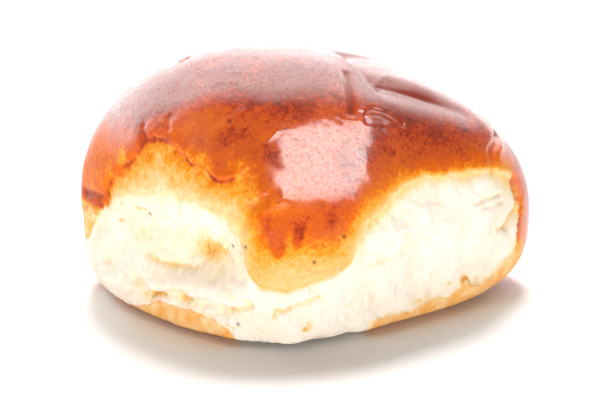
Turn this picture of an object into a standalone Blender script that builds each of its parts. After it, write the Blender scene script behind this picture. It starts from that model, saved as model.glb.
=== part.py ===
"""A soft white bread roll torn from its batch: one solid, in metres, +Z up, resting on z = 0.

The form is worked out along rays from a centre inside the roll. A rounded square plan, set corner to the
front, carries a domed crown and a rounded underside, and two flat sides show where the roll was torn from
its neighbours. Then the torn faces are set in under the edge of the crust, with the crust's tongue left
standing between them, and the crown gets its folds. The origin is the middle of the base.
"""

import math

import bmesh
import bpy
import numpy as np

MM = 0.001

# Reach of the plain body from its centre, before the torn sides cut it
LEFT_REACH = 51.5 * MM
RIGHT_REACH = 51.5 * MM
FRONT_REACH = 36.0 * MM
BACK_REACH = 49.0 * MM
BELT_HEIGHT = 19.6 * MM
CROWN_RISE = 35.2 * MM
UNDERSIDE_LEFT = 36.0 * MM
UNDERSIDE_RIGHT = 21.5 * MM
CROWN_TILT = 0.15

# How square the form is: 2 is round, more is squarer
PLAN_POWER_FRONT = 1.8
PLAN_POWER_BACK = 2.1
CROWN_POWER = 2.0
UNDERSIDE_POWER_LEFT = 2.8
UNDERSIDE_POWER_RIGHT = 3.6

# Torn sides: outward direction, distance from the centre, and how tightly they meet the rest
LEFT_SIDE = ((-0.70, -0.70, -0.11), 38.0 * MM)
RIGHT_SIDE = ((0.62, -0.77, 0.09), 26.2 * MM)
SIDE_POWER = 7.0

# The base is pressed flat a little below where the plain body would reach it
BASE_POWER = 20.0
BASE_PRESS = 0.3 * MM

# The body's centre, seen from the middle of the base
CENTRE_X = 0.4 * MM
CENTRE_Y = -7.7 * MM

# Edge of the crust over the torn faces, seen from the front: (x, height) from left to right in mm.
# It runs along the left face, down round the tongue, and back up along the right face.
CRUST_EDGE = (
    (-52.0, 20.0),
    (-43.4, 23.5),
    (-37.6, 28.6),
    (-30.3, 31.6),
    (-24.3, 30.5),
    (-17.9, 28.2),
    (-14.5, 24.0),
    (-12.5, 17.0),
    (-9.9, 14.9),
    (-4.0, 14.1),
    (1.1, 15.4),
    (7.0, 16.8),
    (9.6, 20.0),
    (11.4, 24.4),
    (14.1, 27.8),
    (18.0, 31.2),
    (21.4, 33.7),
    (28.5, 33.2),
    (38.7, 31.1),
    (42.9, 28.0),
    (45.1, 25.2),
    (53.0, 20.0),
)
CRUMB_SET_IN = 1.4 * MM
EDGE_WIDTH = 2.0 * MM

# Left torn face: a hollow beside the tongue with a lip under it, as (x, y, z) in mm
HOLLOW_MIDDLE = (-22.0, -35.5, 21.0)
HOLLOW_RADII = (11.0, 11.0, 7.5)
HOLLOW_DEPTH = 3.0 * MM
LIP = ((-37.0, -22.0, 15.0), (-31.0, -27.0, 13.0), (-22.0, -34.5, 13.5), (-13.0, -39.8, 12.5))
LIP_WIDTH = 3.5
LIP_HEIGHT = 1.4 * MM

# The crown swells out over the right torn side, between these places along x and up z, in mm
SWELL = 4.0 * MM
SWELL_START = (-8.0, 16.0)
SWELL_END = (34.0, 47.0)
SWELL_TOP = (29.0, 50.0)
SWELL_FOOT = (6.0, 24.0)
SWELL_FRONT = (-4.0, 6.0)

# Folds of the crust, each a line over the surface in mm, its half width in mm, and how far it stands
# out, or in where negative
CROWN_RIDGE = ((6.0, 3.0, 53.0), (8.7, -4.8, 53.0), (12.4, -13.3, 51.4), (14.8, -18.5, 48.6))
CROWN_VALLEY = ((10.5, -10.0, 52.6), (13.6, -14.0, 50.9), (21.5, -12.4, 47.9), (33.0, -6.5, 43.0))
BACK_ROLL = ((14.0, -2.0, 51.6), (22.0, -3.0, 48.6), (32.0, 2.0, 43.6))
CROWN_CREASE = ((8.1, -13.5, 52.8), (8.7, -20.2, 50.7), (9.1, -25.1, 47.5))
RIGHT_FOLD = ((45.0, -1.0, 26.0), (46.2, -1.5, 20.8), (44.0, -6.0, 16.8))
FOLDS = (
    (CROWN_RIDGE, 2.6, 0.5 * MM),
    (CROWN_VALLEY, 3.4, -1.9 * MM),
    (BACK_ROLL, 6.0, 0.5 * MM),
    (CROWN_CREASE, 2.2, -0.9 * MM),
    (RIGHT_FOLD, 3.0, -1.6 * MM),
)

# How far to either side of the middle the left half eases into the right, and the front into the back,
# as parts of a direction of length 1
SIDE_TURN = 0.6
FRONT_TURN = 0.3

# The torn faces fade out over the roll's sides, between these distances toward the front, and over
# the base, between these heights, in mm
FRONT_FADE = (-2.0, 6.0)
BASE_FADE = (1.0, 8.0)

# Squares along each edge of the starting cube
DIVISIONS = 24

# Baked crust: colour, roughness and metallic value
CRUST_COLOUR = (0.50, 0.14, 0.03, 1.0)
CRUST_ROUGHNESS = 0.4
CRUST_METALLIC = 0.0


def ease(x, low, high):
    """0 below low, 1 above high, smooth between."""
    t = np.clip((x - low) / (high - low), 0.0, 1.0)
    return t * t * (3.0 - 2.0 * t)


def blend(first, second, amount):
    return first + (second - first) * amount


def plan_norm(x, y, power):
    """Length of (x, y) in a rounded square whose corners lie on the axes, 1 at (1, 0)."""
    s = np.abs(x + y) / math.sqrt(2.0)
    t = np.abs(x - y) / math.sqrt(2.0)
    return (s**power + t**power) ** (1.0 / power) / 2.0 ** (1.0 / power - 0.5)


def pressed(inverse, facing, power):
    """Inverse reach after a flat face, seen at the inverse distance facing, is pressed on."""
    return (inverse**power + np.maximum(facing, 0.0) ** power) ** (1.0 / power)


def distance_to(points, path):
    """Distance from each point to an open path of straight runs."""
    nearest = np.full(len(points), np.inf)
    for start, end in zip(np.array(path)[:-1], np.array(path)[1:]):
        run = end - start
        along = np.clip((points - start) @ run / (run @ run), 0.0, 1.0)
        nearest = np.minimum(nearest, np.linalg.norm(points - start - along[:, None] * run, axis=1))
    return nearest


def body_points(u):
    """Points of the plain body, one along each direction in u."""
    x, y, z = u.T
    to_right = ease(x, -SIDE_TURN, SIDE_TURN)
    across = np.where(x > 0.0, RIGHT_REACH, LEFT_REACH)
    along = np.where(y > 0.0, BACK_REACH, FRONT_REACH)
    plan_power = blend(PLAN_POWER_FRONT, PLAN_POWER_BACK, ease(y, -FRONT_TURN, FRONT_TURN))
    level = plan_norm(x / across, y / along, plan_power)
    underside = blend(UNDERSIDE_LEFT, UNDERSIDE_RIGHT, to_right)
    underside_power = blend(UNDERSIDE_POWER_LEFT, UNDERSIDE_POWER_RIGHT, to_right)
    power = np.where(z > 0.0, CROWN_POWER, underside_power)
    rise = np.abs(z) / np.where(z > 0.0, CROWN_RISE, underside)
    inverse = (level**power + rise**power) ** (1.0 / power)
    for outward, distance in (LEFT_SIDE, RIGHT_SIDE):
        outward = np.array(outward) / np.linalg.norm(outward)
        inverse = pressed(inverse, u @ outward / distance, SIDE_POWER)
    inverse = pressed(inverse, -z / (BELT_HEIGHT + BASE_PRESS), BASE_POWER)
    p = u / inverse[:, None]
    lift = np.clip(p[:, 2] / CROWN_RISE, 0.0, 1.0)
    p[:, 2] -= CROWN_TILT * p[:, 0] * lift
    return p + np.array((CENTRE_X, CENTRE_Y, BELT_HEIGHT))


def swell(in_mm):
    """How far each point of the plain body moves out where the crown hangs over the right torn side."""
    x, y, z = in_mm.T
    along = ease(x, *SWELL_START) * (1.0 - ease(x, *SWELL_END))
    upward = ease(z, *SWELL_FOOT) * (1.0 - ease(z, *SWELL_TOP))
    return SWELL * along * upward * ease(-y, *SWELL_FRONT)


def relief(points):
    """How far each point of the swollen body moves out, in metres."""
    in_mm = points / MM
    edge = np.array(CRUST_EDGE)
    under = np.interp(in_mm[:, 0], edge[:, 0], edge[:, 1]) > in_mm[:, 2]
    from_edge = distance_to(in_mm[:, (0, 2)], edge) * MM
    set_in = ease(np.where(under, from_edge, -from_edge), -EDGE_WIDTH / 2.0, EDGE_WIDTH)
    front = ease(-in_mm[:, 1], *FRONT_FADE)
    low = ease(in_mm[:, 2], *BASE_FADE)
    out = -CRUMB_SET_IN * set_in * front * low
    from_hollow = (in_mm - HOLLOW_MIDDLE) / HOLLOW_RADII
    out -= HOLLOW_DEPTH * set_in * np.exp(-np.sum(from_hollow**2, axis=1))
    out += LIP_HEIGHT * np.exp(-((distance_to(in_mm, LIP) / LIP_WIDTH) ** 2))
    for path, width, height in FOLDS:
        out += height * np.exp(-((distance_to(in_mm, path) / width) ** 2))
    return out


def baked_crust():
    material = bpy.data.materials.new("baked_crust")
    material.use_nodes = True
    surface = material.node_tree.nodes["Principled BSDF"]
    surface.inputs["Base Color"].default_value = CRUST_COLOUR
    surface.inputs["Roughness"].default_value = CRUST_ROUGHNESS
    surface.inputs["Metallic"].default_value = CRUST_METALLIC
    material.diffuse_color = CRUST_COLOUR
    return material


def bread_roll(collection):
    """A cube cut into a grid and blown up to a ball gives the directions, and each point goes to its place."""
    bm = bmesh.new()
    bmesh.ops.create_cube(bm, size=2.0)
    bmesh.ops.subdivide_edges(bm, edges=bm.edges[:], cuts=DIVISIONS - 1, use_grid_fill=True)
    outward = np.tan(np.array([vert.co for vert in bm.verts]) * math.pi / 4.0)
    outward /= np.linalg.norm(outward, axis=1, keepdims=True)
    points = body_points(outward)
    points += outward * swell(points / MM)[:, None]
    points += outward * relief(points)[:, None]
    points[:, 2] = np.maximum(points[:, 2], 0.0)
    points[:, :2] -= (points[:, :2].min(axis=0) + points[:, :2].max(axis=0)) / 2.0
    for vert, point in zip(bm.verts, points):
        vert.co = point
    mesh = bpy.data.meshes.new("bread_roll")
    bm.to_mesh(mesh)
    bm.free()
    mesh.shade_smooth()
    mesh.materials.append(baked_crust())
    roll = bpy.data.objects.new("bread_roll", mesh)
    collection.objects.link(roll)
    return roll


def main():
    for old in list(bpy.data.objects):
        bpy.data.objects.remove(old)
    collection = bpy.data.collections.new("bread roll")
    bpy.context.scene.collection.children.link(collection)
    bread_roll(collection)


main()
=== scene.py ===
import math
from itertools import product

import bmesh
import bpy
import numpy as np
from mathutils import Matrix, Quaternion, Vector


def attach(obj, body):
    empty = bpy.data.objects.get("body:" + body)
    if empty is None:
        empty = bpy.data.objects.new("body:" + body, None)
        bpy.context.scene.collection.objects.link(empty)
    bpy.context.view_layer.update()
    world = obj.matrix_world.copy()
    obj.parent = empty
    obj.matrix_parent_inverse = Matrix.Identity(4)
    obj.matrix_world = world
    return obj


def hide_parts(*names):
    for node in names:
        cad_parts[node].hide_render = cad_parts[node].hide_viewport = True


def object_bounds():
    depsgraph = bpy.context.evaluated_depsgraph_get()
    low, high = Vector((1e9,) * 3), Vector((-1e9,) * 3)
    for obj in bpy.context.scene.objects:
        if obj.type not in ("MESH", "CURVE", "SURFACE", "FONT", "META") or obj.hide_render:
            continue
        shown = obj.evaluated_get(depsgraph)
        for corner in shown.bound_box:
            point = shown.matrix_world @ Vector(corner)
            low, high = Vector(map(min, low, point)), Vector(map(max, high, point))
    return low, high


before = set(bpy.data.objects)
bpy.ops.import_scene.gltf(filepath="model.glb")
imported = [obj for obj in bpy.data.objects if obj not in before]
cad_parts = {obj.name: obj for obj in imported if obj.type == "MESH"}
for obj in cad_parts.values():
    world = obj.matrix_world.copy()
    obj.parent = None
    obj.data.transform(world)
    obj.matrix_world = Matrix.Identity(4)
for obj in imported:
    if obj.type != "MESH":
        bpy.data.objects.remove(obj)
cad_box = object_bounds()

MM = 0.001

# ---------------------------------------------------------------------------------------------------------
# The plain body, worked out along rays from a centre inside the roll. Lengths are in millimetres.

LEFT_REACH = 51.5
RIGHT_REACH = 51.5
FRONT_REACH = 36.0
BACK_REACH = 49.0
BELT_HEIGHT = 19.6
CROWN_RISE = 35.2
UNDERSIDE_LEFT = 36.0
UNDERSIDE_RIGHT = 21.5
CROWN_TILT = 0.15
PLAN_POWER_FRONT = 1.8
PLAN_POWER_BACK = 2.1
CROWN_POWER = 2.0
UNDERSIDE_POWER_LEFT = 2.8
UNDERSIDE_POWER_RIGHT = 3.6
LEFT_SIDE = ((-0.70, -0.70, -0.11), 38.0)
RIGHT_SIDE = ((0.62, -0.77, 0.09), 26.2)
SIDE_POWER = 7.0
BASE_POWER = 20.0
BASE_PRESS = 0.3
SIDE_TURN = 0.6
FRONT_TURN = 0.3
CENTRE = (0.4, -7.7, BELT_HEIGHT)

# The crown swells out over the right torn side, between these places along x and up z
SWELL = 4.0
SWELL_START = (-8.0, 16.0)
SWELL_END = (34.0, 47.0)
SWELL_TOP = (29.0, 50.0)
SWELL_FOOT = (6.0, 24.0)
SWELL_FRONT = (-4.0, 6.0)

# The foot of the roll draws in below this height, by this part of its width
TUCK_HEIGHT = 2.2
TUCK = 0.06

# Squares along each edge of the starting cube, and how far its points crowd toward the front
DIVISIONS = 128
CROWDING = 0.42


def ease(x, low, high):
    """0 below low, 1 above high, smooth between."""
    t = np.clip((x - low) / (high - low), 0.0, 1.0)
    return t * t * (3.0 - 2.0 * t)


def blend(first, second, amount):
    return first + (second - first) * amount


def hill(distance, width):
    """1 at no distance, falling away smoothly over about width."""
    return np.exp(-((distance / width) ** 2))


def plan_norm(x, y, power):
    """Length of (x, y) in a rounded square whose corners lie on the axes, 1 at (1, 0)."""
    s = np.abs(x + y) / math.sqrt(2.0)
    t = np.abs(x - y) / math.sqrt(2.0)
    return (s**power + t**power) ** (1.0 / power) / 2.0 ** (1.0 / power - 0.5)


def pressed(inverse, facing, power):
    """Inverse reach after a flat face, seen at the inverse distance facing, is pressed on."""
    return (inverse**power + np.maximum(facing, 0.0) ** power) ** (1.0 / power)


def body_points(u):
    """Points of the plain body, one along each direction in u."""
    x, y, z = u.T
    to_right = ease(x, -SIDE_TURN, SIDE_TURN)
    across = np.where(x > 0.0, RIGHT_REACH, LEFT_REACH)
    along = np.where(y > 0.0, BACK_REACH, FRONT_REACH)
    plan_power = blend(PLAN_POWER_FRONT, PLAN_POWER_BACK, ease(y, -FRONT_TURN, FRONT_TURN))
    level = plan_norm(x / across, y / along, plan_power)
    underside = blend(UNDERSIDE_LEFT, UNDERSIDE_RIGHT, to_right)
    underside_power = blend(UNDERSIDE_POWER_LEFT, UNDERSIDE_POWER_RIGHT, to_right)
    power = np.where(z > 0.0, CROWN_POWER, underside_power)
    rise = np.abs(z) / np.where(z > 0.0, CROWN_RISE, underside)
    inverse = (level**power + rise**power) ** (1.0 / power)
    for outward, distance in (LEFT_SIDE, RIGHT_SIDE):
        outward = np.array(outward) / np.linalg.norm(outward)
        inverse = pressed(inverse, u @ outward / distance, SIDE_POWER)
    inverse = pressed(inverse, -z / (BELT_HEIGHT + BASE_PRESS), BASE_POWER)
    p = u / inverse[:, None]
    lift = np.clip(p[:, 2] / CROWN_RISE, 0.0, 1.0)
    p[:, 2] -= CROWN_TILT * p[:, 0] * lift
    return p + np.array(CENTRE)


def swell(p):
    """How far each point of the plain body moves out where the crown hangs over the right torn side."""
    x, y, z = p.T
    along = ease(x, *SWELL_START) * (1.0 - ease(x, *SWELL_END))
    upward = ease(z, *SWELL_FOOT) * (1.0 - ease(z, *SWELL_TOP))
    return SWELL * along * upward * ease(-y, *SWELL_FRONT)


# ---------------------------------------------------------------------------------------------------------
# Noise and distances


def lattice_noise(p, seed):
    """Smooth noise, about -1 to 1, with bumps about one unit apart."""
    rng = np.random.default_rng(seed)
    shuffled = rng.permutation(256)
    slopes = rng.normal(size=(256, 3))
    slopes /= np.linalg.norm(slopes, axis=1, keepdims=True)
    cell = np.floor(p).astype(int)
    within = p - cell
    fade = within**3 * (within * (within * 6.0 - 15.0) + 10.0)
    total = np.zeros(len(p))
    for corner in product((0, 1), repeat=3):
        at = (cell + corner) & 255
        pick = shuffled[(shuffled[(shuffled[at[:, 0]] + at[:, 1]) & 255] + at[:, 2]) & 255]
        weight = np.prod(np.where(corner, fade, 1.0 - fade), axis=1)
        total += weight * np.sum(slopes[pick] * (within - corner), axis=1)
    return total * 1.6


def rough(p, size, seed, octaves=3, gain=0.5):
    """Noise whose largest bumps are size apart, one number or one for each axis, with finer ones fading."""
    total = np.zeros(len(p))
    q = p / np.array(size)
    for octave in range(octaves):
        total += gain**octave * lattice_noise(q * 2.0**octave + 11.3 * octave, seed + octave)
    return total


def ridged(p, size, seed, octaves=2):
    """Noise with sharp crests, 0 to about 1."""
    return 1.0 - np.abs(rough(p, size, seed, octaves))


def turn(degrees):
    """A matrix that leans the height axis over in the plane of the front view."""
    a = math.radians(degrees)
    return np.array(((math.cos(a), 0.0, math.sin(a)), (0.0, 1.0, 0.0), (-math.sin(a), 0.0, math.cos(a))))


def follow(points, path, axes=(0, 1)):
    """Distance of each point from a path of straight runs, and how far along the path it lies, 0 to 1.

    The distance is positive to the left of the way the path runs, as seen in the plane of the two axes.
    """
    path = np.array(path, dtype=float)
    lengths = np.linalg.norm(np.diff(path, axis=0), axis=1)
    reached = np.concatenate(((0.0,), np.cumsum(lengths)))
    nearest = np.full(len(points), np.inf)
    side = np.ones(len(points))
    along = np.zeros(len(points))
    for start, end, before, length in zip(path[:-1], path[1:], reached, lengths):
        run = end - start
        reach = np.clip((points - start) @ run / length**2, 0.0, 1.0)
        away = points - start - reach[:, None] * run
        distance = np.linalg.norm(away, axis=1)
        closer = distance < nearest
        a, b = axes
        left = run[a] * (points - start)[:, b] - run[b] * (points - start)[:, a]
        nearest = np.where(closer, distance, nearest)
        side = np.where(closer, np.where(left > 0.0, 1.0, -1.0), side)
        along = np.where(closer, (before + reach * length) / reached[-1], along)
    return side * nearest, along


def distance_to(points, path):
    return np.abs(follow(points, path)[0])


def height_over(points, path):
    """Signed distance from a path seen from the front, positive above it; points and path are (x, height)."""
    path = np.array(path, dtype=float)
    above = points[:, 1] > np.interp(points[:, 0], path[:, 0], path[:, 1])
    return np.where(above, 1.0, -1.0) * distance_to(points, path)


# ---------------------------------------------------------------------------------------------------------
# Where the crust ends and what is torn, seen from the front as (x, height) in mm, left to right

CRUST_EDGE = (
    (-52.0, 17.0),
    (-46.0, 20.5),
    (-43.4, 22.8),
    (-40.6, 26.6),
    (-37.6, 28.6),
    (-34.2, 29.1),
    (-30.3, 31.2),
    (-27.3, 30.5),
    (-21.0, 30.0),
    (-17.9, 28.2),
    (-15.0, 25.5),
    (-13.8, 22.0),
    (-12.4, 17.4),
    (-9.9, 14.9),
    (-4.0, 14.0),
    (1.1, 15.4),
    (7.0, 16.6),
    (9.0, 18.6),
    (10.6, 22.3),
    (11.6, 24.6),
    (14.1, 27.4),
    (18.2, 31.0),
    (21.4, 33.0),
    (24.2, 33.3),
    (28.5, 33.0),
    (38.7, 31.1),
    (42.9, 28.0),
    (45.1, 25.2),
    (53.0, 19.0),
)
BASE_EDGE = (
    (-52.0, -1.0),
    (-40.0, 1.2),
    (-36.4, 2.5),
    (-33.6, 5.0),
    (-30.8, 6.4),
    (-23.8, 6.2),
    (-20.6, 5.6),
    (-18.3, 4.6),
    (-15.8, 2.6),
    (-12.5, -3.0),
    (9.0, -3.0),
    (12.4, 0.8),
    (13.7, 3.4),
    (18.1, 4.1),
    (21.9, 3.6),
    (26.1, 5.0),
    (30.2, 4.8),
    (33.7, 6.5),
    (34.5, 7.2),
    (35.5, 5.7),
    (37.5, 4.9),
    (41.9, 7.5),
    (44.9, 10.3),
    (45.8, 14.3),
    (46.6, 24.0),
    (53.0, 26.0),
)
# The crack along which the left shoulder's crust tore, over the surface
SHOULDER = (
    (-43.7, -14.4, 22.9),
    (-43.0, -15.3, 25.9),
    (-42.2, -16.2, 29.5),
    (-40.0, -18.8, 32.6),
    (-37.3, -21.4, 36.0),
    (-35.4, -22.7, 38.6),
    (-34.1, -23.1, 40.8),
    (-31.6, -25.0, 42.0),
    (-29.0, -27.2, 42.2),
    (-27.1, -29.1, 41.3),
    (-26.5, -30.2, 40.0),
    (-24.0, -32.2, 38.9),
    (-21.6, -33.6, 38.7),
    (-20.9, -34.3, 37.5),
    (-19.1, -35.6, 36.4),
    (-17.8, -36.2, 36.1),
    (-15.5, -36.7, 37.0),
    (-13.7, -36.6, 38.2),
)

# Grooves, and welts where the depth is negative: a line over the surface, half width, depth, how dark the
# shade painted into it is
GROOVES = {
    "crown crease": (
        ((8.1, -13.5, 52.8), (8.7, -20.2, 50.7), (9.0, -23.2, 48.9), (9.1, -25.1, 47.5)),
        0.9,
        0.6,
        0.95,
    ),
    "foot of the crown crease": (
        ((9.1, -25.1, 47.5), (7.5, -26.1, 47.3), (6.8, -27.3, 46.6)),
        1.0,
        0.10,
        0.4,
    ),
    "over the welt": (
        ((11.1, -24.3, 47.1), (13.4, -22.3, 47.4), (16.3, -21.5, 46.3), (19.9, -21.3, 43.9)),
        0.5,
        0.13,
        0.45,
    ),
    "welt": (((11.7, -24.0, 47.0), (14.0, -23.0, 46.5), (17.3, -22.2, 45.0)), 1.2, -0.10, 0.0),
    "under the welt": (
        ((11.1, -24.3, 47.1), (12.3, -25.5, 45.3), (16.9, -23.4, 44.1), (19.9, -21.5, 43.5)),
        0.5,
        0.13,
        0.45,
    ),
    "second welt": (
        ((7.5, -26.8, 46.7), (12.7, -25.2, 45.3), (16.7, -23.6, 44.0), (20.3, -21.7, 43.0)),
        1.0,
        -0.09,
        0.0,
    ),
    "right fold": (((40.7, -3.3, 36.3), (39.2, -10.0, 34.6), (39.9, -10.9, 31.1)), 1.0, 0.8, 0.3),
    "beside the right fold": (((42.2, -3.0, 35.0), (40.9, -8.6, 33.4), (41.2, -9.6, 31.0)), 1.0, -0.5, 0.0),
    "right rim": (((36.3, 1.5, 40.2), (39.7, 4.7, 36.6)), 0.7, 0.4, 0.2),
    "right end": (
        ((45.1, -2.3, 25.5), (45.9, -2.0, 21.1), (45.4, -3.1, 18.7), (43.5, -6.2, 16.6)),
        1.1,
        1.6,
        0.7,
    ),
    "left corner": (((-47.7, -6.6, 24.1), (-45.8, -10.9, 25.3), (-43.5, -14.7, 25.9)), 1.0, 1.0, 0.6),
    "over the flap": (((-48.5, -4.5, 20.5), (-46.9, -8.9, 22.0), (-44.4, -13.4, 23.4)), 0.7, 0.9, 0.5),
    "stretched crust crack": (
        ((-28.7, -30.1, 34.9), (-28.0, -31.2, 32.4), (-27.1, -32.0, 30.4)),
        0.45,
        0.4,
        0.35,
    ),
    "shoulder fork": (((-27.1, -29.0, 41.4), (-28.3, -29.0, 39.4), (-28.6, -29.8, 37.8)), 0.4, 0.3, 0.2),
    "shoulder nick": (((-34.3, -21.2, 43.4), (-33.5, -23.1, 41.6)), 0.5, 0.4, 0.3),
    "second shoulder nick": (((-29.2, -24.6, 46.5), (-28.9, -26.4, 44.2)), 0.6, 0.35, 0.2),
    "tongue pinch": (
        ((-12.5, -40.3, 25.6), (-10.1, -40.0, 29.6), (-8.0, -39.5, 31.9), (-4.8, -38.8, 33.2)),
        1.4,
        -0.3,
        0.0,
    ),
    "beside the pinch": (((-13.6, -39.8, 26.6), (-11.5, -39.4, 30.9), (-8.6, -38.9, 33.3)), 1.1, 0.4, 0.25),
    "tongue fold": (
        ((-0.5, -40.3, 20.3), (-0.1, -40.2, 19.0), (1.5, -39.7, 18.0), (7.3, -37.5, 18.3)),
        0.5,
        0.3,
        0.15,
    ),
    "under the tongue": (
        ((-9.9, -40.9, 14.5), (-4.1, -40.9, 13.6), (1.1, -39.7, 15.0), (6.7, -37.6, 16.2)),
        0.6,
        0.9,
        0.8,
    ),
    "hollow's floor": (
        ((-34.5, -24.5, 15.9), (-31.9, -27.0, 15.2), (-29.1, -29.7, 15.3), (-24.3, -33.7, 15.8)),
        0.6,
        0.6,
        0.4,
    ),
    "left crack": (((-33.9, -23.2, 5.8), (-33.4, -24.1, 7.0), (-30.8, -27.0, 7.8)), 0.5, 0.7, 0.6),
    "under the lip": (
        ((-28.5, -29.0, 8.4), (-25.0, -32.3, 8.6), (-22.1, -34.3, 8.1), (-18.6, -36.8, 8.9)),
        0.8,
        1.0,
        0.12,
    ),
    "upper front crack": (((-16.4, -38.4, 11.8), (-14.3, -39.2, 11.6), (-12.2, -40.0, 10.4)), 0.6, 0.9, 0.45),
    "lower front crack": (((-16.6, -37.8, 8.2), (-14.3, -39.0, 8.7), (-12.0, -40.1, 9.6)), 0.6, 0.8, 0.45),
    "middle crack": (
        ((-6.9, -40.7, 7.4), (-6.5, -40.9, 9.3), (-4.8, -40.8, 9.0), (-3.0, -40.6, 9.8)),
        0.55,
        0.9,
        0.7,
    ),
    "middle crack, right": (((-1.8, -40.3, 10.2), (0.1, -39.8, 10.7), (3.0, -38.7, 11.5)), 0.6, 0.7, 0.5),
    "post, left": (((0.9, -39.8, 14.9), (1.0, -39.5, 12.9)), 0.3, 0.4, 0.35),
    "post, right": (((2.0, -39.4, 15.0), (2.1, -39.2, 12.9)), 0.3, 0.4, 0.3),
    "right tear, low": (((13.1, -34.1, 16.9), (17.5, -31.1, 17.1), (20.9, -28.6, 17.8)), 0.5, 0.35, 0.25),
    "right tear, first": (((36.0, -17.2, 24.9), (38.5, -14.0, 25.4), (41.9, -9.0, 24.6)), 0.45, 0.5, 0.35),
    "right tear, second": (((38.0, -15.0, 23.4), (40.0, -12.0, 23.0), (42.4, -8.0, 22.6)), 0.4, 0.4, 0.3),
    "right tear, upright": (((39.6, -12.7, 19.4), (39.7, -12.1, 17.0)), 0.4, 0.4, 0.35),
    "right tear, middle": (((34.3, -18.5, 21.8), (33.5, -18.9, 19.4)), 0.4, 0.35, 0.25),
    "right tear, end": (((41.3, -9.6, 16.6), (43.5, -6.4, 16.3)), 0.5, 0.6, 0.5),
    "wrinkle by the dark patch": (
        ((-20.2, -31.0, 44.2), (-16.9, -30.1, 46.5), (-13.6, -28.4, 48.6)),
        1.0,
        -0.14,
        0.0,
    ),
    "wrinkle by the middle": (((-8.9, -33.8, 43.6), (-6.2, -32.0, 45.6)), 0.6, -0.08, 0.0),
    "wrinkle on top": (((-18.6, -20.4, 52.7), (-14.2, -20.4, 53.2)), 0.6, -0.08, 0.0),
    "second wrinkle on top": (((-16.5, -17.2, 54.1), (-10.3, -17.8, 54.2)), 0.6, -0.06, 0.0),
    "notch in the middle": (((3.6, -29.3, 46.6), (3.6, -30.9, 44.4)), 0.9, 0.05, 0.2),
}

# Lines over the surface along which the crust or the crumb steps up, sharply at the foot
CROWN_RIDGE = (
    (5.1, 3.8, 53.4),
    (7.9, -4.5, 53.4),
    (10.1, -10.1, 52.7),
    (12.0, -13.8, 51.7),
    (14.1, -17.0, 50.1),
    (14.4, -19.9, 48.6),
)
CROWN_VALLEY = (
    (9.5, -8.0, 53.0),
    (13.6, -14.9, 50.9),
    (18.5, -13.7, 49.1),
    (24.7, -11.4, 46.6),
    (33.0, -6.9, 43.0),
)
LIP_FOOT = (
    (-39.3, -17.5, 7.6),
    (-33.9, -23.5, 7.4),
    (-29.2, -28.7, 9.6),
    (-24.6, -33.0, 11.4),
    (-18.4, -37.3, 11.8),
    (-11.2, -40.4, 11.2),
)

# Lines over the surface along which the crust is darker: painted shade down the crown's valley, and a darker
# patch on the left of the crown
VALLEY_SHADE = (
    (8.9, -5.6, 53.0),
    (11.3, -9.9, 52.3),
    (13.6, -11.6, 51.5),
    (20.1, -11.1, 48.9),
    (32.9, -6.4, 43.2),
)
DARK_BLOTCH = ((-19.1, -32.7, 42.4), (-17.5, -32.1, 43.9), (-16.0, -31.6, 45.0))

# The lip along the foot of the left hollow, and dimples in the crumb under it, seen from the front: x,
# height, half width, half height, depth
LIP = ((-37.0, -21.8, 12.0), (-31.5, -27.0, 11.6), (-25.0, -32.6, 13.4), (-13.0, -39.9, 13.2))
DIMPLES = (
    (-20.5, 8.0, 3.2, 1.6, 0.9),
    (-27.0, 7.6, 1.4, 1.2, 0.6),
    (-14.4, 10.2, 2.4, 1.2, 0.7),
)

# Spots of gold painted shade in the crumb's holes and hollows, seen from the front: x, height, half width,
# half height, strength
GOLD_SHADE_SPOTS = (
    (0.4, 5.2, 1.1, 1.0, 0.8),
    (-0.2, 4.4, 0.7, 0.5, 0.6),
    (8.7, 8.6, 0.5, 0.4, 0.4),
    (-35.8, 26.1, 1.1, 0.35, 0.9),
    (-39.8, 25.8, 0.35, 0.6, 0.6),
    (-40.1, 21.8, 0.5, 0.5, 0.7),
    (-22.4, 19.6, 3.0, 1.9, 0.62),
    (-27.0, 7.6, 0.9, 0.7, 0.5),
    (-38.5, 11.5, 0.6, 0.6, 0.35),
    (-16.5, 4.6, 1.8, 0.4, 0.4),
    (33.9, 7.4, 0.9, 1.0, 0.9),
    (23.4, 5.4, 1.8, 0.7, 0.7),
    (30.6, 7.4, 0.9, 0.6, 0.6),
    (25.8, 6.2, 0.6, 0.6, 0.6),
    (36.8, 6.6, 1.2, 0.4, 0.5),
)

# Scorched flecks on the crust
FLECKS = (
    (-19.3, -11.1, 54.7),
    (-0.9, -14.7, 54.3),
    (18.2, -5.8, 50.1),
    (-5.9, -26.7, 49.9),
    (7.2, -33.3, 38.8),
    (10.3, -33.4, 35.7),
    (21.3, -19.5, 44.3),
    (33.6, -11.9, 39.9),
    (17.8, -26.6, 39.3),
    (-16.1, -29.6, 47.1),
    (-12.7, -40.4, 23.3),
    (7.4, -37.5, 24.7),
    (1.3, -39.8, 20.0),
    (-16.9, -38.8, 22.0),
    (-33.9, -26.0, 25.4),
    (-14.6, -38.3, 5.5),
)

# Drips of glaze on the tongue: x and height of the tip, x and height of the root, half width, how dark
DRIPS = (
    (-5.9, 20.8, -6.6, 31.0, 1.7, 0.24),
    (-2.3, 22.6, -1.0, 31.0, 1.1, 0.36),
    (-8.7, 25.6, -8.2, 32.0, 1.0, 0.10),
    (5.4, 25.0, 4.2, 32.0, 0.9, 0.10),
)


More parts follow.
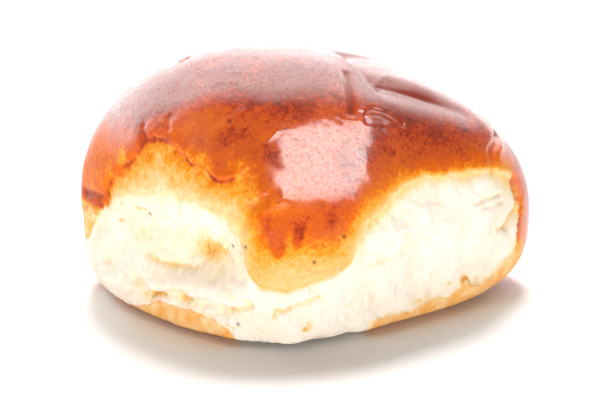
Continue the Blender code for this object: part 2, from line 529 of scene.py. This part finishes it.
class Roll:
    """The roll's surface: points and outward normals in mm, and masks for its relief, its finish and its
    painted shade.
    """

    def __init__(self, directions, normals_of):
        plain = body_points(directions)
        self.base = plain + normals_of(plain) * swell(plain)[:, None]
        self.normal = normals_of(self.base)
        self.front = ease(-self.base[:, 1], -3.0, 5.0)
        self.face = self.base[:, (0, 2)]
        self.out = np.zeros(len(plain))
        self.shade_and_stain = np.zeros(len(plain))
        self.find_torn()

    def find_torn(self):
        p, x = self.base, self.base[:, 0]
        self.left = ease(-x, 12.0, 16.0)
        self.right = ease(x, 7.0, 12.0)
        ragged = rough(p, 4.0, 31, 3)
        wander = 0.25 + 0.7 * self.left + 0.25 * self.right
        self.over_edge = height_over(self.face, CRUST_EDGE) + ragged * wander
        self.over_base = height_over(self.face, BASE_EDGE) + 0.5 * rough(p, 2.4, 37, 3)
        soft = 0.25 + 1.2 * self.left + 0.5 * self.right
        off_crust = 1.0 - ease(self.over_edge, -soft, soft)
        flap_edge = x + 0.5 * ragged + 0.36 * np.maximum(22.0 - p[:, 2], 0.0)
        self.flap = self.front * (1.0 - ease(flap_edge, -45.2, -44.4)) * ease(p[:, 2], 10.0, 13.0)
        self.flap *= 1.0 - ease(p[:, 2], 21.5, 23.0)
        self.torn = self.front * off_crust * ease(self.over_base, -0.25, 0.25) * (1.0 - self.flap)
        self.past_shoulder, self.along_shoulder = follow(p, SHOULDER, (0, 2))
        self.past_shoulder += 0.55 * rough(p, 2.4, 29, 3, 0.6)
        self.below_shoulder = -self.past_shoulder
        beyond = ease(p[:, 0], -44.5, -43.0) * ease(-x, 9.0, 16.0)
        self.stretched = self.front * beyond * ease(self.below_shoulder, -0.15, 0.25) * (1.0 - self.torn)

    def groove(self, path, width, depth, shade_and_stain):
        near = hill(distance_to(self.base, path), width)
        self.out -= depth * near
        # Painted shade: the groove's colour darkens by the given amount.
        self.shade_and_stain = np.maximum(self.shade_and_stain, shade_and_stain * near)

    def step(self, path, height, width, run_out, axes=(0, 1), ends=(0.15, 0.3)):
        """Moves the left side of a path by height, sharply at the path and easing back over run_out."""
        distance, along = follow(self.base, path, axes)
        taper = ease(along, 0.0, ends[0]) * ease(1.0 - along, 0.0, ends[1])
        rise = 1.0 - np.exp(-np.maximum(distance, 0.0) / width)
        self.out += height * taper * rise * hill(distance, run_out)


def press_crust(roll):
    """Broad unevenness of the crust, its folds, and the cracked shoulder's lifted edge."""
    p = roll.base
    roll.out += 0.45 * rough(p, 26.0, 3, 2) + 0.07 * rough(p, 6.0, 7, 2)
    roll.step(CROWN_RIDGE, -0.9, 0.7, 8.0, ends=(0.1, 0.25))
    roll.step(CROWN_VALLEY, 1.3, 2.2, 7.5, ends=(0.35, 0.35))
    roll.out -= 0.6 * hill(distance_to(p, CROWN_VALLEY[1:]), 4.0)
    distance = roll.past_shoulder
    taper = ease(roll.along_shoulder, 0.0, 0.04) * ease(1.0 - roll.along_shoulder, 0.0, 0.05)
    wavering = 1.0 + 0.6 * rough(p, 3.0, 59, 2)
    roll.out += 0.32 * taper * wavering * ease(distance, -0.1, 0.9) * hill(distance, 4.5)
    roll.out -= 0.7 * taper * hill(distance + 0.35, 0.7)
    # Painted shade along the shoulder's crack, under its lifted edge.
    roll.shade_and_stain = np.maximum(roll.shade_and_stain, taper * np.clip(wavering, 0.4, 1.0) * hill(distance + 0.2, 0.62))
    settled = roll.stretched * ease(roll.below_shoulder, 0.0, 1.5)
    roll.out -= 0.7 * settled
    streaks = 0.25 * rough(p @ turn(8.0), (1.3, 1.3, 5.0), 67, 3) + 0.8 * rough(p, 2.0, 69, 4, 0.65)
    roll.out += 0.24 * settled * streaks
    roll.streaks = streaks


def tear_crumb(roll):
    """The torn sides, set in below the crust: the hollow, the lip under it, soft lumps, webs and pores."""
    p, x, z = roll.base, roll.base[:, 0], roll.base[:, 2]
    under_tongue = (1.0 - roll.left) * (1.0 - roll.right)
    roll.out -= roll.torn * (0.5 + 0.5 * roll.left + 0.6 * under_tongue)
    hollow = np.sum(((p - (-22.5, -34.5, 20.5)) / (9.5, 11.0, 5.6)) ** 2, axis=1)
    roll.out -= 4.4 * roll.torn * np.exp(-hollow)
    roll.out += 0.9 * roll.torn * hill(distance_to(p, LIP), 2.6)
    roll.step(LIP_FOOT, 1.9, 0.4, 3.0, (0, 2), (0.1, 0.1))
    for x0, z0, across, up, depth in DIMPLES:
        roll.out -= depth * roll.torn * np.exp(-(((x - x0) / across) ** 2) - ((z - z0) / up) ** 2)
    lumps = rough(p, 6.5, 41, 3)
    along_left = ridged(p @ turn(-38.0), (1.8, 1.8, 5.5), 43)
    along_right = ridged(p @ turn(66.0), (1.5, 1.5, 7.0), 47)
    webs = blend(along_left, along_right, ease(x, -6.0, 6.0))
    pores = np.maximum(rough(p, 1.3, 53, 2) - 0.25, 0.0)
    soft = blend(1.0, 0.30, ease(x, -14.0, 4.0))
    ragged = roll.left * ease(z, 3.0, 6.0) * (1.0 - ease(z, 10.0, 12.5))
    tufts = rough(p, (6.5, 6.5, 3.2), 61, 3, 0.45)
    roll.crumb = 0.55 * lumps + soft * (0.50 * (webs - 0.75) - 0.40 * pores + 0.10 * rough(p, 0.8, 57, 2))
    roll.crumb += 1.3 * ragged * tufts
    roll.out += roll.torn * roll.crumb


def drip(roll, tip_x, tip_z, root_x, root_z, width):
    """A rounded tip at the foot of a run of glaze, 1 inside it."""
    x, z = roll.face.T
    up = (z - tip_z) / (root_z - tip_z)
    middle = tip_x + (root_x - tip_x) * up
    half = width * np.sqrt(np.clip((z - tip_z) / 2.6, 0.0, 1.0)) * (1.0 + 1.1 * ease(up, 0.3, 1.0))
    return ease(half - np.abs(x - middle), -0.5, 0.7) * (1.0 - ease(up, 0.4, 1.1)) * ease(up, -0.02, 0.10)


def browning(roll):
    """How dark the crust is: 0 pale, 1 deep red-brown; mostly how deeply it is baked, with painted shade down
    the crown's valley and over the back.
    """
    p, x, z = roll.base, roll.base[:, 0], roll.base[:, 2]
    front = roll.front
    level = 0.78 + 0.14 * ease(x, 4.0, 26.0) * ease(z, 26.0, 36.0)
    flank = ease(-x, 14.0, 34.0) * (1.0 - ease(z, 34.0, 45.0)) * front
    level -= 0.24 * flank
    orange_patch = hill(np.hypot(x + 24.0, (z - 44.5) * 1.4), 8.0) * front
    level -= 0.14 * orange_patch
    tongue = front * hill(x + 2.5, 13.0)
    level = blend(level, 0.54, tongue * (1.0 - ease(z, 29.0, 38.0)) * 0.9)
    level = blend(level, 0.22, tongue * (1.0 - ease(z, 17.0, 28.5)))
    level += 0.15 * front * hill(np.hypot((x - 3.5) / 5.0, (z - 28.5) / 3.4), 1.0)
    near_right = np.maximum(roll.over_edge, 0.0) / blend(1.0, 1.7, 1.0 - ease(x, 12.0, 26.0))
    paling = np.interp(near_right, (0.0, 0.9, 2.2, 4.6, 7.0), (0.72, 0.44, 0.30, 0.12, 0.0))
    level -= roll.right * front * paling
    level = blend(level, 0.45, 0.85 * front * hill(np.hypot((x + 12.5) / 6.0, (z - 34.0) / 4.5), 1.0))
    level += 0.05 * front * hill(np.hypot((x + 17.0) / 3.4, (z - 44.0) / 2.6), 1.0)
    above = front * hill(np.maximum(roll.past_shoulder, 0.0), 5.0) * ease(-x, 8.0, 14.0)
    level = blend(level, 0.47 + 0.20 * rough(p, 3.0, 63, 3), 0.85 * above)
    # Painted shade down the crown's valley.
    level += 0.22 * front * hill(distance_to(p, VALLEY_SHADE), 2.0)
    level += 0.20 * hill(distance_to(p, DARK_BLOTCH), 1.6)
    for tip_x, tip_z, root_x, root_z, width, shade_and_stain in DRIPS:
        level += shade_and_stain * front * drip(roll, tip_x, tip_z, root_x, root_z, width)
    level += 0.24 * ease(z, 46.0, 53.0) + 0.32 * ease(-x, 20.0, 32.0) * ease(z, 36.0, 45.0)
    level += 0.12 * front * hill(np.hypot((x - 8.0) / 8.0, (z - 37.0) / 6.5), 1.0)
    level += 0.14 * ease(x, 10.0, 18.0) * ease(z, 41.0, 46.0)
    mottled = 0.13 * front * hill(np.hypot((x + 20.0) / 15.0, (z - 41.0) / 9.0), 1.0)
    level += mottled * rough(p, 3.4, 71, 4, 0.6)
    level += 0.09 * rough(p, 8.0, 73, 4, 0.65) * ease(z, 14.0, 34.0)
    depth = roll.below_shoulder / (roll.below_shoulder + np.maximum(roll.over_edge, 0.05) + 0.05)
    fading = np.interp(np.clip(depth, 0.0, 1.0), (0.0, 0.25, 0.6, 0.9, 1.0), (0.44, 0.36, 0.24, 0.08, 0.0))
    level = blend(level, fading + 0.14 * roll.streaks * (1.0 - 0.6 * depth), roll.stretched)
    level = blend(level, 0.04, front * hill(roll.over_edge, 0.5) * (1.0 - roll.right) * roll.left)
    beside_tongue = front * hill(x + 1.0, 15.0) * (1.0 - 0.5 * hill((x + 2.0) / 6.0, 1.0))
    rim = hill(np.maximum(roll.over_edge, 0.0), 3.2 + 1.2 * ease(x, 0.0, 6.0))
    level = blend(level, 0.16, beside_tongue * rim)
    base = (1.0 - ease(roll.over_base, -0.3, 0.3)) * front
    base_level = 0.20 + 0.14 * ease(-z, -2.0, -0.2) + 0.02 * roll.right + 0.10 * rough(p, 3.0, 79, 3)
    level = blend(level, base_level, base)
    # Painted shade: the back is darker, against the strong light from behind.
    level += 0.16 * (1.0 - front) * ease(z, 2.0, 18.0)
    level = blend(level, 0.72 + 0.12 * rough(p, 8.0, 83), (1.0 - ease(z, 1.0, 10.0)) * (1.0 - front))
    level = blend(level, 0.17 + 0.14 * rough(p, 2.0, 87), roll.flap)
    end = front * ease(x + 0.4 * rough(p, 2.2, 89, 3), 44.3, 45.0)
    end = end * ease(z, 9.0, 13.0) * (1.0 - ease(z, 26.0, 29.0))
    level = blend(level, 0.58 + 0.2 * rough(p, 3.0, 85, 3) + 0.2 * hill(z - 15.6, 1.2), end)
    corner = front * (1.0 - ease(x, -44.5, -43.0)) * ease(z, 22.0, 23.5) * (1.0 - ease(z, 24.5, 26.5))
    level = blend(level, 0.84, corner)
    return np.clip(level, 0.0, 1.15)


def gold(roll):
    """Where the crumb turns gold: painted shade in its cracks, low places, hollow and spots, and a gold tint
    near the crust's edges.
    """
    x, z = roll.face.T
    # Painted shade: gold in the crumb's low places.
    level = 0.06 - 0.24 * roll.crumb
    for x0, z0, across, up, strength in GOLD_SHADE_SPOTS:
        spot = np.exp(-(((x - x0) / across) ** 2) - ((z - z0) / up) ** 2)
        level += strength * spot * (0.8 + 0.6 * rough(roll.base, 1.2, 91, 2))
    # Painted shade over the left hollow.
    hollow_shade = hill(np.hypot((x + 24.5) / 9.5, (z - 19.0) / 4.6), 1.0)
    level += hollow_shade * (0.34 + 0.20 * rough(roll.base, 5.0, 95, 2))
    # More painted shade in the low places on the left.
    level -= 0.13 * np.minimum(roll.crumb, 0.0) * roll.left
    level += 0.35 * (1.0 - ease(roll.over_base, 0.0, 1.0)) * roll.right
    level += 0.50 * hill(np.minimum(roll.over_edge, 0.0), 2.0) * roll.right
    level += 0.22 * hill(np.minimum(roll.over_edge, 0.0), 1.6) * roll.left
    return np.clip(level, 0.0, 1.0)


def glazing(roll):
    """How thick the egg glaze lies: full on the crown, thin on the left flank, the tongue and the base."""
    p, x, z = roll.base, roll.base[:, 0], roll.base[:, 2]
    thin = roll.front * (1.0 - ease(z, 29.0, 36.0))
    flank = ease(-x, 26.0, 37.0) * (1.0 - ease(z, 33.0, 45.0)) * ease(-p[:, 1], -4.0, 10.0)
    thin = np.maximum(thin, flank)
    by_shoulder = roll.front * ease(-x, 10.0, 15.0) * hill(np.maximum(-roll.below_shoulder, 0.0), 3.0)
    thin = np.maximum(thin, np.maximum(roll.stretched, by_shoulder))
    thin = np.maximum(thin, 0.45 * hill(distance_to(p, VALLEY_SHADE), 2.4))
    thin = np.maximum(thin, 0.75 * hill(np.linalg.norm(p - (8.4, -25.6, 47.2), axis=1), 2.6))
    thin = np.maximum(thin, 0.7 * roll.shade_and_stain)
    thin = np.maximum(thin, 0.85 * ease(p[:, 1], 0.0, 14.0) * (1.0 - ease(z, 40.0, 52.0)))
    at_edge = roll.front * (1.0 - ease(roll.over_edge, 1.5, 4.5))
    thin = np.maximum(thin, at_edge)
    thin = np.maximum(thin, 0.7 * (1.0 - ease(z, 3.0, 14.0)))
    under_right = roll.right * roll.front * (1.0 - ease(roll.over_base, -1.2, -0.2))
    thin = blend(thin, 0.0, under_right)
    return np.clip(1.0 - 0.97 * thin + 0.12 * rough(p, 5.0, 97, 3), 0.0, 1.0)


def fleck_marks(roll):
    marks = np.zeros(len(roll.base))
    for place in FLECKS:
        marks = np.maximum(marks, hill(np.linalg.norm(roll.base - place, axis=1), 0.42))
    return marks


# ---------------------------------------------------------------------------------------------------------
# Mesh


def ball():
    """A cube cut into a grid; its points, blown up to a ball, give directions that crowd toward the front."""
    bm = bmesh.new()
    bmesh.ops.create_cube(bm, size=2.0)
    bmesh.ops.subdivide_edges(bm, edges=bm.edges[:], cuts=DIVISIONS - 1, use_grid_fill=True)
    mesh = bpy.data.meshes.new("roll_surface")
    bm.to_mesh(mesh)
    bm.free()
    corners = np.empty(len(mesh.vertices) * 3)
    mesh.vertices.foreach_get("co", corners)
    u = np.tan(corners.reshape(-1, 3) * math.pi / 4.0)
    u /= np.linalg.norm(u, axis=1, keepdims=True)
    u[:, 1] -= CROWDING
    return mesh, u / np.linalg.norm(u, axis=1, keepdims=True)


def place(mesh, points_mm):
    mesh.vertices.foreach_set("co", (points_mm * MM).ravel())
    mesh.update()


def normals_of(mesh):
    def measure(points_mm):
        place(mesh, points_mm)
        normals = np.empty(len(mesh.vertices) * 3)
        mesh.vertex_normals.foreach_get("vector", normals)
        return normals.reshape(-1, 3)

    return measure


def store(mesh, name, values):
    """Keeps one number a point on the mesh, for the material to read."""
    layer = mesh.attributes.new(name, "FLOAT", "POINT")
    layer.data.foreach_set("value", np.asarray(values, dtype=np.float32))


# ---------------------------------------------------------------------------------------------------------
# Material


class Wire:
    """An output in a material's nodes; arithmetic on wires adds the nodes that work it out."""

    def __init__(self, socket):
        self.socket = socket

    def node(self, kind, settings, inputs, output=0):
        """Adds a node of this kind, its settings first, and gives the wire out of it."""
        tree = self.socket.id_data
        made = tree.nodes.new(kind)
        for name, value in settings.items():
            if name == "stops":
                set_stops(made.color_ramp, value)
            else:
                setattr(made, name, value)
        for name, value in inputs.items():
            if isinstance(value, Wire):
                tree.links.new(value.socket, made.inputs[name])
            else:
                made.inputs[name].default_value = value
        return Wire(made.outputs[output])

    def maths(self, operation, first, second):
        return self.node("ShaderNodeMath", {"operation": operation}, {0: first, 1: second})

    def __add__(self, other):
        return self.maths("ADD", self, other)

    def __radd__(self, other):
        return self.maths("ADD", other, self)

    def __sub__(self, other):
        return self.maths("SUBTRACT", self, other)

    def __rsub__(self, other):
        return self.maths("SUBTRACT", other, self)

    def __mul__(self, other):
        return self.maths("MULTIPLY", self, other)

    def __rmul__(self, other):
        return self.maths("MULTIPLY", other, self)

    def between(self, low, high):
        """0 where this is below low, 1 above high, smooth between."""
        settings = {"interpolation_type": "SMOOTHSTEP"}
        return self.node("ShaderNodeMapRange", settings, {"Value": self, "From Min": low, "From Max": high})

    def noise(self, size_mm, detail=3.0, roughness=0.5):
        """Noise over this position, about 0 to 1 with 0.5 in the middle."""
        inputs = {"Vector": self, "Scale": 1.0 / (size_mm * MM), "Detail": detail, "Roughness": roughness}
        return self.node("ShaderNodeTexNoise", {}, inputs)

    def colours(self, stops):
        return self.node("ShaderNodeValToRGB", {"stops": stops}, {0: self})

    def mix(self, first, second):
        """The colour that goes from first to second as this goes from 0 to 1."""
        return self.node("ShaderNodeMix", {"data_type": "RGBA"}, {0: self, 6: first, 7: second}, output=2)


def set_stops(ramp, stops):
    while len(ramp.elements) < len(stops):
        ramp.elements.new(0.5)
    for element, (position, colour) in zip(ramp.elements, stops):
        element.position = position
        element.color = colour


def shade(red, green, blue):
    """A colour given as it looks on a screen, 0 to 255, as the linear numbers that a shader takes."""
    screen = np.array((red, green, blue)) / 255.0
    linear = np.where(screen <= 0.04045, screen / 12.92, ((screen + 0.055) / 1.055) ** 2.4)
    return (*(float(c) for c in linear), 1.0)


CRUST_SHADES = (
    (0.0, shade(238, 226, 200)),
    (0.12, shade(237, 201, 148)),
    (0.25, shade(235, 175, 100)),
    (0.38, shade(230, 150, 34)),
    (0.50, shade(220, 112, 6)),
    (0.62, shade(206, 90, 8)),
    (0.75, shade(198, 84, 20)),
    (0.88, shade(180, 62, 16)),
    (1.0, shade(134, 42, 16)),
)
# Crumb colours from plain to gold; the gold end also serves as painted shade in cracks and hollows
CRUMB_SHADES = (
    (0.0, shade(240, 229, 215)),
    (0.3, shade(238, 221, 192)),
    (0.6, shade(231, 194, 124)),
    (1.0, shade(214, 140, 48)),
)


def bread_material():
    material = bpy.data.materials.new("baked_bread")
    material.use_nodes = True
    tree = material.node_tree
    surface = tree.nodes["Principled BSDF"]
    spot = Wire(tree.nodes.new("ShaderNodeTexCoord").outputs["Object"])

    def mask(name):
        return spot.node("ShaderNodeAttribute", {"attribute_name": name}, {}, output=2)

    masks = ("torn", "browning", "gold", "crack", "fleck", "gloss")
    torn, browned_and_shaded, crumb_gold_and_shade, crack, fleck, gloss = (mask(name) for name in masks)
    mottle = spot.noise(1.5, 4.0, 0.65) - 0.5
    grain = spot.noise(0.75, 4.0, 0.75) - 0.5
    blotches = spot.noise(4.5, 5.0, 0.6) - 0.5
    baked_spots = spot.noise(0.9, 2.0, 0.5).between(0.60, 0.74)
    uneven = blotches * 0.24 + mottle * 0.30 + grain * 0.55 + baked_spots * 0.16
    uneven = uneven * browned_and_shaded.between(-0.15, 0.7)
    crust = (browned_and_shaded + uneven).colours(CRUST_SHADES)
    # The crumb's colour, with painted shade in its cracks and hollows.
    crumb = (crumb_gold_and_shade + mottle * 0.22 + crack * 0.8).colours(CRUMB_SHADES)
    torn_edge = (torn + mottle * 0.3).between(0.3, 0.7)
    # Painted shade darkens the crust in its grooves and creases.
    crust_with_painted_shade = crack.mix(crust, (browned_and_shaded + crack * 0.55).colours(CRUST_SHADES))
    colour = torn_edge.mix(crust_with_painted_shade, crumb)
    colour = (fleck * 0.9).mix(colour, shade(52, 30, 26))
    tree.links.new(colour.socket, surface.inputs["Base Color"])
    glazed = (1.0 - torn_edge) * browned_and_shaded.between(0.12, 0.6)
    roughness = 0.86 - glazed * 0.44 + grain * 0.12
    tree.links.new(roughness.socket, surface.inputs["Roughness"])
    speckled = 1.0 - spot.noise(0.55, 4.0, 0.7).between(0.44, 0.70) * 0.60
    coat = glazed * gloss * speckled
    tree.links.new(coat.socket, surface.inputs["Coat Weight"])
    surface.inputs["Specular IOR Level"].default_value = 0.12
    surface.inputs["Coat Roughness"].default_value = 0.13
    surface.inputs["Coat IOR"].default_value = 2.2
    pitted = spot.noise(0.42, 3.0, 0.7)
    ripple = spot.noise(1.3, 3.0, 0.5)
    pores = spot.noise(0.5, 4.0, 0.7)
    height = (1.0 - torn_edge) * (pitted * 0.10 + ripple * 0.12) + torn_edge * pores * 0.5
    bump = spot.node("ShaderNodeBump", {}, {"Strength": 1.0, "Distance": 0.25 * MM, "Height": height})
    tree.links.new(bump.socket, surface.inputs["Normal"])
    surface.inputs["Subsurface Weight"].default_value = 0.10
    surface.inputs["Subsurface Radius"].default_value = (1.0, 0.5, 0.25)
    surface.inputs["Subsurface Scale"].default_value = 2.0 * MM
    return material


def roll_piece(material):
    mesh, directions = ball()
    roll = Roll(directions, normals_of(mesh))
    press_crust(roll)
    tear_crumb(roll)
    for path, width, depth, shade_and_stain in GROOVES.values():
        roll.groove(path, width, depth, shade_and_stain)
    points = roll.base + roll.normal * roll.out[:, None]
    points[:, 2] = np.maximum(points[:, 2], 0.0)
    tucked = np.clip(1.0 - points[:, 2] / TUCK_HEIGHT, 0.0, 1.0) ** 2
    points[:, :2] *= (1.0 - TUCK * tucked)[:, None]
    place(mesh, points)
    store(mesh, "torn", roll.torn)
    store(mesh, "browning", browning(roll))
    store(mesh, "gold", gold(roll))
    store(mesh, "crack", roll.shade_and_stain)
    store(mesh, "fleck", fleck_marks(roll))
    store(mesh, "gloss", glazing(roll))
    mesh.shade_smooth()
    mesh.materials.append(material)
    piece = bpy.data.objects.new("baked_roll", mesh)
    bpy.context.scene.collection.objects.link(piece)
    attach(piece, "root")
    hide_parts("bread_roll")


# ---------------------------------------------------------------------------------------------------------
# Studio


CAMERA_LENS = 167.8
CAMERA_SENSOR = 36.0
CAMERA_ELEVATION = 18.0
CAMERA_DISTANCE = 0.62


def floor():
    bm = bmesh.new()
    bmesh.ops.create_grid(bm, x_segments=2, y_segments=2, size=3.0)
    mesh = bpy.data.meshes.new("floor")
    bm.to_mesh(mesh)
    bm.free()
    material = bpy.data.materials.new("pale_floor")
    material.use_nodes = True
    surface = material.node_tree.nodes["Principled BSDF"]
    surface.inputs["Base Color"].default_value = (0.88, 0.88, 0.88, 1.0)
    surface.inputs["Roughness"].default_value = 0.6
    surface.inputs["Specular IOR Level"].default_value = 0.2
    mesh.materials.append(material)
    ground = bpy.data.objects.new("floor", mesh)
    bpy.context.scene.collection.objects.link(ground)


def aimed(thing, at, target, roll=0.0):
    """Puts a light or camera at a place, turned toward its target and rolled by some degrees."""
    thing.location = at
    toward = (Vector(target) - Vector(at)).to_track_quat("-Z", "Y")
    thing.rotation_euler = (toward @ Quaternion((0.0, 0.0, 1.0), math.radians(roll))).to_euler()
    bpy.context.scene.collection.objects.link(thing)
    return thing


def direction_of(azimuth, elevation):
    """The way to a place from the roll, by degrees round from the front to the right, and degrees up."""
    a, e = math.radians(azimuth), math.radians(elevation)
    return Vector((math.sin(a) * math.cos(e), -math.cos(a) * math.cos(e), math.sin(e)))


def soft_light(name, azimuth, elevation, distance, size, radiance, target, roll=0.0):
    """A square or oblong soft light, placed by direction, as bright as radiance on its face."""
    data = bpy.data.lights.new(name, "AREA")
    data.shape = "RECTANGLE"
    data.size, data.size_y = size
    data.energy = radiance * math.pi * size[0] * size[1]
    at = Vector(target) + direction_of(azimuth, elevation) * distance
    lamp = aimed(bpy.data.objects.new(name, data), at, target, roll)
    lamp.visible_camera = False
    return lamp


def even_light(name, azimuth, elevation, spread, strength):
    """A soft light from far away, so that it falls evenly over the whole floor."""
    data = bpy.data.lights.new(name, "SUN")
    data.energy = strength
    data.angle = math.radians(spread)
    return aimed(bpy.data.objects.new(name, data), direction_of(azimuth, elevation), (0.0, 0.0, 0.0))


def backdrop_world(front, back, low, high, left):
    """Surroundings like a lit white backdrop: brighter from front to back, with a fill on the left."""
    world = bpy.data.worlds.new("studio")
    world.use_nodes = True
    tree = world.node_tree
    direction = Wire(tree.nodes.new("ShaderNodeTexCoord").outputs["Generated"])
    rightward = direction.node("ShaderNodeSeparateXYZ", {}, {0: direction}, output=0)
    backward = direction.node("ShaderNodeSeparateXYZ", {}, {0: direction}, output=1)
    open_side = 1.0 - rightward.between(0.42, 0.85) * 0.9
    backdrop = (back - front) * backward.between(low, high) * open_side
    fill = left * rightward.between(-0.1, -0.8)
    strength = front + backdrop + fill
    background = tree.nodes["Background"]
    tint = backward.between(low, high).mix((1.0, 0.84, 0.76, 1.0), (1.0, 1.0, 1.0, 1.0))
    tree.links.new(tint.socket, background.inputs["Color"])
    tree.links.new(strength.socket, background.inputs["Strength"])
    bpy.context.scene.world = world


def studio():
    low, high = (Vector(corner) for corner in cad_box)
    middle = (low + high) / 2.0
    backdrop_world(0.06, 2.2, -0.06, 0.52, 0.36)
    crown_front = (0.003, -0.030, 0.038)
    key = soft_light("key_box", 41.0, 40.0, 0.7, (0.74, 0.62), 4.1, crown_front, 69.0)
    key.visible_diffuse = False
    overhead = even_light("overhead_light", 180.0, 60.0, 20.0, 3.3)
    overhead.visible_glossy = False
    front = soft_light("low_front_box", 4.0, 4.0, 1.0, (0.9, 0.12), 25.0, middle)
    front.visible_glossy = False
    camera = bpy.data.cameras.new("camera")
    camera.lens = CAMERA_LENS
    camera.sensor_width = CAMERA_SENSOR
    target = Vector((middle.x - 0.3 * MM, middle.y - 0.9 * MM, low.z + 19.8 * MM))
    at = target + direction_of(0.0, CAMERA_ELEVATION) * CAMERA_DISTANCE
    scene = bpy.context.scene
    scene.camera = aimed(bpy.data.objects.new("camera", camera), at, target)
    scene.view_settings.view_transform = "Standard"


roll_piece(bread_material())
floor()
studio()
